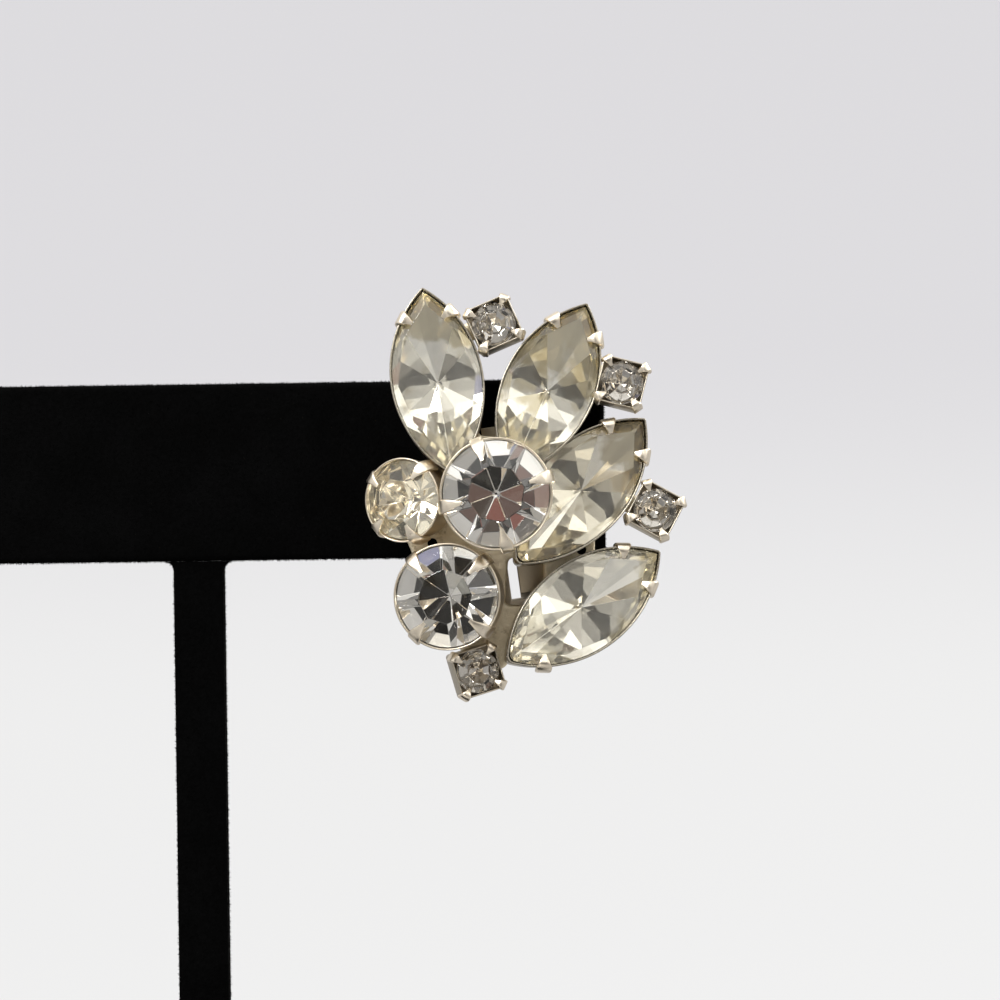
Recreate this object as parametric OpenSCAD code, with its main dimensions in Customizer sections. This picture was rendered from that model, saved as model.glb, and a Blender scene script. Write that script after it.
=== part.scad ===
// Rhinestone cluster clip-on earring, clipped to the cross bar of a small velvet T stand.
// Millimetres. +X right, +Y away from the viewer, +Z up, origin under the upright on the table.
// The earring is drawn in a face frame: across, up, and height in front of the bar's front face.

/* [Stand] */
// Height of the cross bar's top edge above the table
stand_h = 70; // [66:0.5:80]
// Length of the cross bar
bar_len = 66; // [64:0.5:90]
// Height of the cross bar
bar_h = 14.3; // [14:0.1:14.6]
// Thickness of the cross bar
bar_t = 4; // [3.6:0.1:4.1]
// Width of the upright
post_w = 4; // [3:0.1:6]
// Thickness of the upright
post_t = 3.4; // [2:0.1:3.6]
// Radius of the flare where the upright meets the bar
flare_r = 0.7; // [0.4:0.1:1.5]
// Width of the base board
base_w = 60; // [50:1:80]
// Depth of the base board
base_d = 40; // [34:1:60]
// Thickness of the base board
base_t = 5; // [3:0.5:8]

/* [Earring on the bar] */
// Distance of the centre stone from the upright's middle
flower_x = 24.2; // [23.5:0.1:24.8]
// Drop of the centre stone below the bar's top edge
flower_drop = 9.2; // [9:0.1:9.4]

/* [Navette settings] */
// Length of a navette cup over its tips
nav_len = 15.4; // [15.2:0.1:15.6]
// Width of a navette cup
nav_w = 7.5; // [7.3:0.1:7.6]
// Height of a navette cup
nav_h = 3.2; // [3.1:0.1:3.3]
// Outward tilt of the navette cups
nav_tilt = 9; // [8:0.5:9.5]

/* [Round settings] */
// Outside radius of the centre cup at its rim
centre_r = 4.5; // [4.4:0.05:4.6]
// Height of the centre cup
centre_h = 4.75; // [4.6:0.05:4.9]
// Outside radius of the lower cup at its rim
lower_r = 4.3; // [4.15:0.05:4.4]
// Height of the lower cup
lower_h = 4.5; // [4.3:0.05:4.6]
// Outside radius of the left cup at its rim
left_r = 3.4; // [3.3:0.05:3.5]
// Height of the left cup
left_h = 3.5; // [3.4:0.05:3.6]
// Foot of the lower cup as a share of its rim
lower_foot = 0.96; // [0.94:0.01:0.98]
// Foot of the left cup as a share of its rim
left_foot = 0.88; // [0.86:0.01:0.92]
// Height of the centre cup's upright rim, above its cone
skirt_h = 0.8; // [0.7:0.05:1]
// Radius of the centre cup's foot, at the cone's tip
cone_foot_r = 0.8; // [0.7:0.05:0.9]

/* [Square boxes] */
// Outside width of a square box
box_w = 3.75; // [3.6:0.05:3.8]
// Height of a square box
box_h = 2.3; // [2.2:0.1:2.4]

/* [Metal] */
// Thickness of a cup's wall
wall = 0.25; // [0.23:0.01:0.28]
// Thickness of a cup's floor
floor_t = 0.4; // [0.35:0.05:0.45]
// Thickness of the back plate
plate_t = 0.6; // [0.5:0.05:0.65]
// Width of a prong on the round and navette cups
prong_w = 1.1; // [0.9:0.05:1.2]

/* [Clip] */
// Turn of the clip from upright, anticlockwise
clip_turn = 7; // [5:0.5:9]
// Width of the clip's base strip
strip_w = 4.9; // [4.8:0.1:5]
// Length of the base strip above the hinge
strip_len = 15; // [14.5:0.5:15.5]
// Radius of the hinge pin
pin_r = 0.42; // [0.4:0.01:0.43]
// Radius of the paddle's round end
paddle_r = 4; // [3.5:0.1:4.5]
// Thickness of the clip lever
lever_t = 0.7; // [0.6:0.05:0.75]

/* [Hidden] */
$fn = 64;

// Colours of the finishes
velvet = "#111112";
rhodium = "#cfc3ae";
clip_metal = "#a99c83";
crystal = "#dcd9cf";
crystal_aged = "#cfc9a8";

// Small gap between pieces that touch on the real earring
fit_gap = 0.05;
// Gap between the clip's parts and the bar's velvet
bar_gap = 0.15;
// Overlap that fuses two shapes of one solid
fuse = 0.1;

// Height of the strip, the plate and the plate's front above the bar's front face
strip_t = 0.6;
strip_back = bar_gap;
plate_back = strip_back + strip_t + fit_gap;
plate_front = plate_back + plate_t;

// Every row of settings starts with the rim's middle: across, up and height
ACROSS = 0;
UP = 1;
RIM = 2;

// Navettes: then the turn anticlockwise, and the prongs as [side, end] signs
NAV_TURN = 3;
NAV_PRONGS = 4;
outer_prongs = [[1, 1], [-1, 1]];
navettes = [
    [-4.6,  9.15, 5.1,   8.4, outer_prongs],
    [ 4.3,  8.35, 5.1, -25.2, outer_prongs],
    [ 6.95, 0.3,  5.1, -42.5, outer_prongs],
    [ 6.9, -9.1,  5.1, -55.2, [[1, 1], [-1, 1], [1, -1]]]];

// Rounds: then the rim's radius, the cup's height, tilt, direction of the tilt, prong angles,
// and how far the wall runs inwards per millimetre below the rim
RND_R = 3;
RND_HIGH = 4;
RND_TILT = 5;
RND_LEAN = 6;
RND_PRONGS = 7;
RND_SLOPE = 8;
skirt_in = 0.1;
rounds = [
    [ 0,    0,   9.4, centre_r, centre_h, 0,  0,   [17, 110, 193, 281], skirt_in / skirt_h],
    [-4.05, -8.15, 6.2, lower_r, lower_h, 6.5, 180, [43, 132, 230, 318], lower_r * (1 - lower_foot) / lower_h],
    [-7.55, -0.4, 5.5, left_r,   left_h, 28, 180, [52, 145, 226, 292], left_r * (1 - left_foot) / left_h]];

// Square boxes: then the turn anticlockwise, tilt and direction of the tilt
BOX_TURN = 3;
BOX_TILT = 4;
BOX_LEAN = 5;
boxes = [
    [ 0,    13.65, 4.8,  23, 10, 100],
    [10.2,   8.8,  4.8, -15,  9,  80],
    [12.75, -1.45, 4.6, -29,  8,  60],
    [-1.6, -14.2,  4.2,  16, 13,   0]];

// Arms of the back plate: across and up of both ends, and the width
hub = [-1, -0.5];
hub_r = 5.2;
arms = [
    [hub, [-5.2, 13.2], 2.6],
    [hub, [6, 12.2], 2.6],
    [hub, [9.8, 3.6], 2.6],
    [[6.8, 0.2], [6.8, -8.8], 2.2],
    [[2.5, -11.2], [10.5, -6.3], 2.6],
    [[-3.8, -10.4], [5, -10.7], 3.2],
    [hub, [-3.8, -8.3], 3.4],
    [[-6.8, -0.6], [-4.2, -7], 3.2],
    [[-4.9, 12], [0, 13.8], 1.5],
    [[5.4, 11], [10.2, 8.7], 1.5],
    [[6.8, 0.2], [12.7, -1.5], 1.5],
    [[-3.8, -8.3], [-1.6, -14.2], 1.6],
    [[-0.9, -4.6], [-1.3, -8.4], 2.9],
    [[5.3, -3], [5.3, -8.2], 3.2],
    [[0, -10.7], [0, -13.3], 1.7]];
// Holes pierced in the plate: across, up, radius
pierced = [[-5.2, -3.9, 0.4], [-6.5, -2.8, 0.35], [-3.5, -4.5, 0.45], [6.8, -4.6, 0.4]];
// Radius of the post under the centre cup's cone, clear of the rivets
centre_post_r = 1.1;

// The stones: girdle gap, share of the table, heights
stone_gap = 0.06;
nav_stone_len = 14.5;
nav_stone_w = 6.85;
nav_table = 0.7;
nav_crown = 0.6;
nav_drop = 0.45;
nav_pavilion = 2.1;
round_table = 0.52;
round_crown = 0.4;
round_drop = 0.35;
girdle_t = 0.12;
accent_drop = 0.3;
nav_sides = 7;
round_sides = 16;

// Sheet of the square boxes
box_wall = 0.22;

// Clip: hinge in the face frame, and the pin's height behind the bar's front face
hinge_at = [3.1, -9.3];
pin_z = -1.1;
knuckle_r = 1;
knuckle_w = 3.7;
running_gap = 0.03;
ear_t = 0.5;
ear_r = 1.15;
tongue_w = 2.1;
slot_w = 0.8;
slot_low = 0.9;
slot_high = 7.2;
rivets = [8.2, 12.6];
rivet_r = 0.6;
rivet_head_r = 1;
rivet_head_t = 0.3;

// Places

// Puts a shape of the face frame on the bar
module on_face() {
    translate([flower_x, -bar_t / 2, stand_h - flower_drop])
        rotate([90, 0, 0])
            children();
}

// Leans a shape by an angle towards a direction of the face
module lean(tilt, towards) {
    rotate(a = tilt, v = [-sin(towards), cos(towards), 0])
        children();
}

// Puts a shape with the cup's foot as its origin, so that the cup's rim lies where the row says
module at_navette(row) {
    translate([row[ACROSS], row[UP], row[RIM]])
        lean(nav_tilt, 90 + row[NAV_TURN])
            rotate([0, 0, row[NAV_TURN]])
                translate([0, 0, -nav_h])
                    children();
}

module at_round(row) {
    translate([row[ACROSS], row[UP], row[RIM]])
        lean(row[RND_TILT], row[RND_LEAN])
            translate([0, 0, -row[RND_HIGH]])
                children();
}

module at_box(row) {
    translate([row[ACROSS], row[UP], row[RIM]])
        lean(row[BOX_TILT], row[BOX_LEAN])
            rotate([0, 0, row[BOX_TURN]])
                translate([0, 0, -box_h])
                    children();
}

// Puts the clip's own frame, with the hinge as its origin, on the face
module at_clip() {
    translate([hinge_at[0], hinge_at[1], 0])
        rotate([0, 0, clip_turn])
            children();
}

// Outlines

// Arc radius of a pointed oval, from its half length and half width
function oval_r(half_len, half_w) = (half_len * half_len + half_w * half_w) / (2 * half_w);

nav_r = oval_r(nav_len / 2, nav_w / 2);
nav_off = nav_r - nav_w / 2;

// Points of a pointed oval with arcs of radius r about centres off to each side
function oval_points(r, off, sides) =
    let (reach = acos(off / r))
    concat([for (i = [0 : sides - 1]) let (a = -reach + 2 * reach * i / sides) [r * cos(a) - off, r * sin(a)]],
           [for (i = [0 : sides - 1]) let (a = -reach + 2 * reach * i / sides) [off - r * cos(a), -r * sin(a)]]);

function ring_points(r, sides) = [for (i = [0 : sides - 1]) let (a = (i + 0.5) * 360 / sides) [r * cos(a), r * sin(a)]];

// Points of a rectangle with rounded corners
function rounded_points(w, d, r, steps = 5) =
    [for (q = [0 : 3]) for (i = [0 : steps])
        let (a = 90 * q + 90 * i / steps, sx = (q == 0 || q == 3) ? 1 : -1, sy = q < 2 ? 1 : -1)
        [sx * (w / 2 - r) + r * cos(a), sy * (d / 2 - r) + r * sin(a)]];

// Left normal of the step from p to q
function normal_of(p, q) = let (d = q - p) [-d[1], d[0]] / norm(d);

// Mitred normal at point i of a path
function mitre(path, i) =
    let (n = len(path),
         a = normal_of(path[max(i - 1, 0)], path[max(i, 1)]),
         b = normal_of(path[min(i, n - 2)], path[min(i + 1, n - 1)]),
         m = (a + b) / norm(a + b))
    m / (m * a);

// Outline of a bent strip of thickness t along a path
function ribbon(path, t) =
    concat([for (i = [0 : len(path) - 1]) path[i] + mitre(path, i) * t / 2],
           [for (i = [len(path) - 1 : -1 : 0]) path[i] - mitre(path, i) * t / 2]);

// Solids

// Pointed oval prism between two arcs
module oval_prism(r, off, h) {
    intersection() {
        translate([off, 0, 0]) cylinder(h = h, r = r);
        translate([-off, 0, 0]) cylinder(h = h, r = r);
    }
}

// Cut stone: its outline as girdle, a smaller one as table, and a pavilion that runs to the culet
module cut_stone(outline, table, crown, pavilion) {
    n = len(outline);
    culet = 0.03;
    levels = [[culet, 0], [1, pavilion], [1, pavilion + girdle_t], [table, pavilion + girdle_t + crown]];
    points = [for (level = levels) for (p = outline) [p[0] * level[0], p[1] * level[0], level[1]]];
    walls = [for (k = [0 : len(levels) - 2]) for (i = [0 : n - 1])
        [k * n + i, (k + 1) * n + i, (k + 1) * n + (i + 1) % n, k * n + (i + 1) % n]];
    bottom = [for (i = [0 : n - 1]) i];
    top = [for (i = [n - 1 : -1 : 0]) (len(levels) - 1) * n + i];
    polyhedron(points = points, faces = concat([bottom], walls, [top]));
}

// Bent prong: its outer side at the origin, reaching inwards along -x over a crown of the given slope
module prong(width, reach, leg, drop, slope, proud, thick = wall) {
    lift = 0.07;
    sheet = 0.3;
    root = -0.6 * thick;
    girdle = -thick - stone_gap;
    rise = slope * (reach + girdle);
    profile = [[root, -leg], [proud, -leg], [proud, -0.02], [proud - 0.15, 0.17], [-0.25, 0.27],
               [-reach + 0.15, rise - drop + lift + sheet], [-reach, rise - drop + lift + sheet / 2],
               [-reach, rise - drop + lift], [girdle, lift - drop], [root, lift - drop]];
    half = width / 2;
    plan = [[1, -half], [1, half], [-reach + 0.55 * half, 0.92 * half], [-reach + 0.2 * half, 0.72 * half],
            [-reach, 0.35 * half], [-reach, -0.35 * half], [-reach + 0.2 * half, -0.72 * half],
            [-reach + 0.55 * half, -0.92 * half]];
    intersection() {
        rotate([90, 0, 0])
            linear_extrude(height = 2 * width, center = true)
                polygon(profile);
        translate([0, 0, -2 * leg])
            linear_extrude(height = 4 * leg)
                polygon(plan);
    }
}

// Flat strip with round ends between two points
module strip(from, to, width) {
    step = to - from;
    translate(from)
        rotate([0, 0, atan2(step[1], step[0])])
            translate([0, -width / 2])
                square([norm(step), width]);
    translate(from) circle(r = width / 2 + 0.02);
    translate(to) circle(r = width / 2 + 0.02);
}

// Metal

module navette_cup(row) {
    nav_prong_angle = 34;
    difference() {
        oval_prism(nav_r, nav_off, nav_h);
        translate([0, 0, floor_t]) oval_prism(nav_r - wall, nav_off, nav_h);
    }
    for (sign = row[NAV_PRONGS])
        translate([-sign[0] * nav_off, 0, nav_h])
            rotate([0, 0, 90 - sign[0] * 90 + sign[0] * sign[1] * nav_prong_angle])
                translate([nav_r, 0, 0])
                    prong(prong_w, 1.05, 1.4, nav_drop, 0.42, 0.32);
}

// Cup whose wall tapers all the way to its foot
module tapered_shell(rim, high, slope) {
    foot = rim - high * slope;
    difference() {
        cylinder(h = high, r1 = foot, r2 = rim);
        translate([0, 0, floor_t])
            cylinder(h = high - floor_t + fuse,
                     r1 = foot - wall + slope * floor_t,
                     r2 = rim - wall + slope * fuse);
    }
}

// Cup with an upright rim on a cone that follows its stone's back
module cone_shell(rim, high) {
    inner_foot = cone_foot_r - 1.4 * wall;
    difference() {
        union() {
            cylinder(h = high - skirt_h, r1 = cone_foot_r, r2 = rim - skirt_in);
            translate([0, 0, high - skirt_h]) cylinder(h = skirt_h, r1 = rim - skirt_in, r2 = rim);
        }
        translate([0, 0, floor_t])
            cylinder(h = high - skirt_h - floor_t, r1 = inner_foot, r2 = rim - skirt_in - wall);
        translate([0, 0, high - skirt_h])
            cylinder(h = skirt_h + fuse, r1 = rim - skirt_in - wall, r2 = rim - wall + skirt_in * fuse / skirt_h);
    }
}

module round_cup(row) {
    rim = row[RND_R];
    high = row[RND_HIGH];
    if (row == rounds[0]) cone_shell(rim, high);
    else tapered_shell(rim, high, row[RND_SLOPE]);
    for (a = row[RND_PRONGS])
        translate([0, 0, high])
            rotate([0, 0, a])
                translate([rim, 0, 0])
                    prong(prong_w, 0.38 * rim, 1.2, round_drop, round_crown / (1 - round_table), 0.18);
}

module square_box() {
    box_prong_w = 0.75;
    inner = box_w - 2 * box_wall;
    corner = box_w / sqrt(2) - 0.14;
    difference() {
        translate([-box_w / 2, -box_w / 2, 0]) cube([box_w, box_w, box_h]);
        translate([-inner / 2, -inner / 2, floor_t]) cube([inner, inner, box_h]);
    }
    for (a = [45 : 90 : 315])
        translate([0, 0, box_h])
            rotate([0, 0, a])
                translate([corner, 0, 0])
                    prong(box_prong_w, 1.1, 0.9, accent_drop, 0.55, 0.1, thick = 0.45);
}

// Riser that stands on the plate, under the foot of a cup of height h that leans from the row's rim
module riser(row, h, tilt, towards, r) {
    step = h * sin(tilt);
    foot = row[RIM] - h * cos(tilt);
    translate([row[ACROSS] - step * cos(towards), row[UP] - step * sin(towards), plate_front - fuse])
        cylinder(h = foot + 0.1 - plate_front + fuse, r = r);
}

module back_plate() {
    translate([0, 0, plate_back])
        difference() {
            linear_extrude(height = plate_t)
                union() {
                    translate(hub) circle(r = hub_r);
                    for (arm = arms) strip(arm[0], arm[1], arm[2]);
                }
            for (hole = pierced)
                translate([hole[0], hole[1], -1]) cylinder(h = 3, r = hole[2]);
        }
}

module rivet_places() {
    at_clip()
        for (u = rivets)
            translate([0, u, 0])
                children();
}

module setting() {
    color(rhodium)
        on_face()
            difference() {
                union() {
                    back_plate();
                    for (row = navettes) {
                        at_navette(row) navette_cup(row);
                        riser(row, nav_h, nav_tilt, 90 + row[NAV_TURN], 1.5);
                    }
                    for (row = rounds) {
                        at_round(row) round_cup(row);
                        riser(row, row[RND_HIGH], row[RND_TILT], row[RND_LEAN],
                              row == rounds[0] ? centre_post_r : 1.2);
                    }
                    for (row = boxes) {
                        at_box(row) square_box();
                        riser(row, box_h, row[BOX_TILT], row[BOX_LEAN], 0.9);
                    }
                }
                rivet_places() cylinder(h = plate_front + 0.3, r = rivet_r + fit_gap);
            }
}

// Clip

module clip_base() {
    color(clip_metal)
        on_face()
            at_clip() {
                difference() {
                    translate([-strip_w / 2, -1, strip_back])
                        cube([strip_w, strip_len + 1, strip_t]);
                    for (side = [-1, 1])
                        translate([side * (tongue_w + slot_w) / 2 - slot_w / 2, slot_low, 0])
                            cube([slot_w, slot_high - slot_low, 1]);
                    translate([-tongue_w / 2 - fuse, slot_low, 0])
                        cube([tongue_w + 2 * fuse, 0.5, 1]);
                    translate([-strip_w, -2, 0])
                        cube([2 * strip_w, 1.4, 1]);
                }
                for (side = [-1, 1])
                    translate([side * (strip_w - ear_t) / 2, 0, 0])
                        ear();
                for (u = rivets)
                    translate([0, u, strip_back + fuse]) {
                        cylinder(h = plate_front + rivet_head_t - strip_back - fuse, r = rivet_r);
                        translate([0, 0, plate_front + fit_gap - strip_back - fuse])
                            cylinder(h = rivet_head_t, r = rivet_head_r);
                    }
            }
}

// One of the two ears that hold the hinge pin
module ear() {
    difference() {
        union() {
            translate([-ear_t / 2, -0.9, pin_z])
                cube([ear_t, 1.8, strip_back + strip_t - pin_z]);
            translate([-ear_t / 2, 0, pin_z])
                rotate([0, 90, 0])
                    cylinder(h = ear_t, r = ear_r);
        }
        translate([-ear_t, 0, pin_z])
            rotate([0, 90, 0])
                cylinder(h = 2 * ear_t, r = pin_r + 0.01);
    }
}

module hinge_pin() {
    head_t = 0.25;
    head_gap = 0.03;
    color(clip_metal)
        on_face()
            at_clip()
                translate([0, 0, pin_z])
                    rotate([0, 90, 0]) {
                        cylinder(h = strip_w + 2 * head_gap + fuse, r = pin_r, center = true);
                        for (side = [-1, 1])
                            translate([0, 0, side * (strip_w / 2 + head_gap + head_t / 2)])
                                cylinder(h = head_t, r = 1.6 * pin_r, center = true);
                    }
}

module clip_lever() {
    back = -bar_t - bar_gap - lever_t / 2;
    // Side path of the lever: height in front of the bar's face, and distance above the hinge
    path = [[pin_z - 0.62, 0.45], [back + 1.1, 1.75], [back + 0.3, 2.6], [back, 3.8],
            [back, 12.3], [back - 0.35, 13.6], [back - 1.2, 15]];
    neck_w = 2.2;
    paddle_u = 11.2;
    color(clip_metal)
        on_face()
            at_clip()
                difference() {
                    union() {
                        translate([0, 0, pin_z])
                            rotate([0, 90, 0])
                                cylinder(h = knuckle_w, r = knuckle_r, center = true);
                        intersection() {
                            rotate([0, -90, 0])
                                linear_extrude(height = 3 * paddle_r, center = true)
                                    polygon(ribbon(path, lever_t));
                            translate([0, 0, back - 4])
                                linear_extrude(height = 10)
                                    union() {
                                        translate([-neck_w / 2, -1]) square([neck_w, 8]);
                                        polygon([[-neck_w / 2, 4.6], [neck_w / 2, 4.6],
                                                 [0.8 * paddle_r, 8.2], [-0.8 * paddle_r, 8.2]]);
                                        translate([0, paddle_u]) circle(r = paddle_r);
                                    }
                        }
                    }
                    translate([0, 0, pin_z])
                        rotate([0, 90, 0])
                            cylinder(h = 2 * knuckle_w, r = pin_r + running_gap, center = true);
                }
}

// Stones

module navette_stone(row, shade) {
    r = oval_r(nav_stone_len / 2, nav_stone_w / 2);
    base = nav_h - nav_drop - girdle_t - nav_pavilion;
    color(shade)
        on_face()
            at_navette(row)
                translate([0, 0, base])
                    cut_stone(oval_points(r, r - nav_stone_w / 2, nav_sides), nav_table, nav_crown, nav_pavilion);
}

module round_stone(row, shade) {
    r = row[RND_R] - wall - stone_gap - row[RND_SLOPE] * (round_drop + girdle_t) - 0.03;
    pavilion = row[RND_HIGH] - round_drop - girdle_t - floor_t - 2 * fit_gap;
    color(shade)
        on_face()
            at_round(row)
                translate([0, 0, floor_t + 2 * fit_gap])
                    cut_stone(ring_points(r, round_sides), round_table, round_crown * r, pavilion);
}

module accent_stone(row) {
    r = box_w / 2 - box_wall - fit_gap;
    pavilion = box_h - accent_drop - girdle_t - floor_t - 2 * fit_gap;
    color(crystal)
        on_face()
            at_box(row)
                translate([0, 0, floor_t + 2 * fit_gap])
                    cut_stone(ring_points(r, round_sides), round_table, 0.3 * r, pavilion);
}

// Stand

module stand_base() {
    color(velvet)
        linear_extrude(height = base_t)
            polygon(rounded_points(base_w, base_d, 3));
}

// Upright with concave flares under the bar
module stand_post() {
    high = stand_h - bar_h - base_t - 2 * fit_gap;
    half = post_w / 2;
    steps = 5;
    side = [for (i = [0 : steps]) let (a = 90 * i / steps)
        [half + flare_r * (1 - cos(a)), high - flare_r * (1 - sin(a))]];
    outline = concat([[half, 0]], side, [for (i = [steps : -1 : 0]) [-side[i][0], side[i][1]]], [[-half, 0]]);
    color(velvet)
        translate([0, 0, base_t + fit_gap])
            rotate([90, 0, 0])
                linear_extrude(height = post_t, center = true)
                    polygon(outline);
}

module stand_bar() {
    color(velvet)
        translate([0, 0, stand_h - bar_h / 2])
            rotate([90, 0, 0])
                linear_extrude(height = bar_t, center = true)
                    polygon(rounded_points(bar_len, bar_h, 0.6));
}

stand_base();
stand_post();
stand_bar();
setting();
clip_base();
hinge_pin();
clip_lever();
navette_stone(navettes[0], crystal_aged);  // navette_upper_left
navette_stone(navettes[1], crystal_aged);  // navette_upper_right
navette_stone(navettes[2], crystal_aged);  // navette_right
navette_stone(navettes[3], crystal_aged);  // navette_lower_right
round_stone(rounds[0], crystal);  // chaton_centre
round_stone(rounds[1], crystal);  // chaton_lower
round_stone(rounds[2], crystal);  // chaton_left
accent_stone(boxes[0]);  // accent_top
accent_stone(boxes[1]);  // accent_upper_right
accent_stone(boxes[2]);  // accent_right
accent_stone(boxes[3]);  // accent_bottom
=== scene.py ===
"""Looks of a clip-on rhinestone cluster earring that hangs on the bar of a small velvet T stand.

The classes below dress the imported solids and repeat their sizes: cut stones with foil backs in stamped cups
with folded prongs, the soldered plate behind them, the clip and the velvet stand. Lengths in the classes are
millimetres, and angles are degrees. A finished mesh is in metres in the row frame.
"""

import logging
import math
from collections.abc import Iterable, Sequence
from dataclasses import asdict, dataclass
from enum import Enum
from typing import Any

import bmesh
import bpy
from mathutils import Matrix, Vector

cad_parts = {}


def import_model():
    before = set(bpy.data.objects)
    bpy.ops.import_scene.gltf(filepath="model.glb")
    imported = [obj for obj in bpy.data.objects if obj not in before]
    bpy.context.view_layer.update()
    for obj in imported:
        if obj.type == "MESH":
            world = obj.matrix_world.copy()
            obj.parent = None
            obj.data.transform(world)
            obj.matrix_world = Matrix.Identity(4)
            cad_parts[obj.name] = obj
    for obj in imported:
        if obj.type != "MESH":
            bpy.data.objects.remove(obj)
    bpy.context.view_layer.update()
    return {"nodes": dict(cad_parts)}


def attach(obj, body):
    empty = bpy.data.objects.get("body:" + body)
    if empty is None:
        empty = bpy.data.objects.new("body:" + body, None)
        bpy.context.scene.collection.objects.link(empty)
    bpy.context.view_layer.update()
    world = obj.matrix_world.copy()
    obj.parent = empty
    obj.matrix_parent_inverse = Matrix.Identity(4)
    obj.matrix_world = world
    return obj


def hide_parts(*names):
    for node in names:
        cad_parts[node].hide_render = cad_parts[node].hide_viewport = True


LOG = logging.getLogger("earring")
MM = 0.001
BODY = "stand_and_earring"
LEVER_BODY = "clip_lever"

Pair = tuple[float, float]
Triple = tuple[float, float, float]
Colour = Triple
Values = dict[str | int, Any]
Solids = dict[str, bpy.types.Object]

# The middle of the centre stone on the bar's front face
CENTRE = (24.2, -2.0, 60.8)

# From across, up and height towards the viewer to the row frame
FACE = Matrix.Scale(MM, 4) @ Matrix.Translation(CENTRE) @ Matrix.Rotation(math.radians(90), 4, "X")

# Place on the lower left of the earring's back, and the distances from it over which painted shade makes the
# foils darker and yellower towards the outer tips
UNSHADED_SPOT = FACE @ Vector((-5, -4, 3))
UNSHADED_TO, SHADED_FROM = 14 * MM, 19 * MM

# Smallest radius that an inset leaves on a corner
LEAST_RADIUS = 0.03


def heading(angle: float) -> Vector:
    """Flat unit vector at an angle in radians."""
    return Vector((math.cos(angle), math.sin(angle)))


def lean(tilt: float, towards: float) -> Matrix:
    """Rotation that leans the height axis by a tilt, towards a direction anticlockwise from across."""
    angle = math.radians(towards)
    return Matrix.Rotation(math.radians(tilt), 4, Vector((-math.sin(angle), math.cos(angle), 0)))


# Node graphs


@dataclass(frozen=True)
class Field:
    """A node's output that takes part in sums."""

    graph: "Graph"
    socket: bpy.types.NodeSocket

    def __add__(self, other: "Field | float") -> "Field":
        """Sum."""
        return self.graph.maths("ADD", self, other)

    def __mul__(self, other: "Field | float") -> "Field":
        """Product."""
        return self.graph.maths("MULTIPLY", self, other)

    __radd__ = __add__
    __rmul__ = __mul__


class Graph:
    """Adds nodes to a shader tree or a geometry tree."""

    def __init__(self, tree: bpy.types.NodeTree) -> None:
        """Starts on an empty tree."""
        self.tree = tree
        tree.nodes.clear()

    def node(self, kind: str, values: Values | None = None, **settings: Any) -> bpy.types.Node:
        """Adds a node.

        Args:
            kind: the node's type.
            values: numbers, colours or links for its sockets.
            settings: its properties, which are set first.

        Returns:
            The node.
        """
        made = self.tree.nodes.new(kind)
        for name, value in settings.items():
            setattr(made, name, value)
        for name, value in (values or {}).items():
            socket = made.inputs[name]
            if isinstance(value, Field):
                self.tree.links.new(value.socket, socket)
            else:
                socket.default_value = (*value, 1.0) if socket.type == "RGBA" else value
        return made

    def field(self, kind: str, values: Values | None = None, out: str | int = 0, **settings: Any) -> Field:
        """Adds a node and takes one output of it."""
        return Field(self, self.node(kind, values, **settings).outputs[out])

    def maths(self, operation: str, *terms: "Field | float") -> Field:
        """Result of a Math node on the terms."""
        return self.field("ShaderNodeMath", dict(enumerate(terms)), operation=operation)

    def height(self, place: Field) -> Field:
        """Third part of a place."""
        return self.field("ShaderNodeSeparateXYZ", {0: place}, "Z")

    def blend(self, factor: Field, low: "Field | Colour", high: Colour) -> Field:
        """Colour between two colours."""
        return self.field("ShaderNodeMix", {"Factor": factor, "A": low, "B": high}, 2, data_type="RGBA")

    def step(self, value: Field, low: float, high: float, start: float = 0.0, end: float = 1.0) -> Field:
        """Smooth step of a value between low and high, from start to end."""
        values = {"Value": value, "From Min": low, "From Max": high, "To Min": start, "To Max": end}
        return self.field("ShaderNodeMapRange", values, interpolation_type="SMOOTHSTEP")

    def noise(self, place: Field, size: float, detail: float, rough: float) -> Field:
        """Noise between 0 and 1 on a place in metres, in patches of a size in millimetres."""
        values = {"Vector": place, "Scale": 1 / (size * MM), "Detail": detail, "Roughness": rough}
        return self.field("ShaderNodeTexNoise", values)

    def bump(self, height: Field, depth: float) -> Field:
        """Normal of a height of the given depth in millimetres."""
        return self.field("ShaderNodeBump", {"Height": height, "Distance": depth * MM, "Strength": 1.0})


# Finishes


@dataclass(frozen=True)
class Finish:
    """A finish that a piece can wear."""

    name: str

    def look(self, graph: Graph, place: Field) -> Values:
        """Values of the shader's sockets. Each finish gives its own."""
        raise NotImplementedError

    def material(self) -> bpy.types.Material:
        """The finish as a material, built once.

        Returns:
            The material.
        """
        found = bpy.data.materials.get(self.name)
        if found:
            return found
        made = bpy.data.materials.new(self.name)
        made.use_nodes = True
        graph = Graph(made.node_tree)
        look = self.look(graph, graph.field("ShaderNodeTexCoord", out="Object"))
        graph.node("ShaderNodeOutputMaterial", {"Surface": graph.field("ShaderNodeBsdfPrincipled", look)})
        return made


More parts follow.
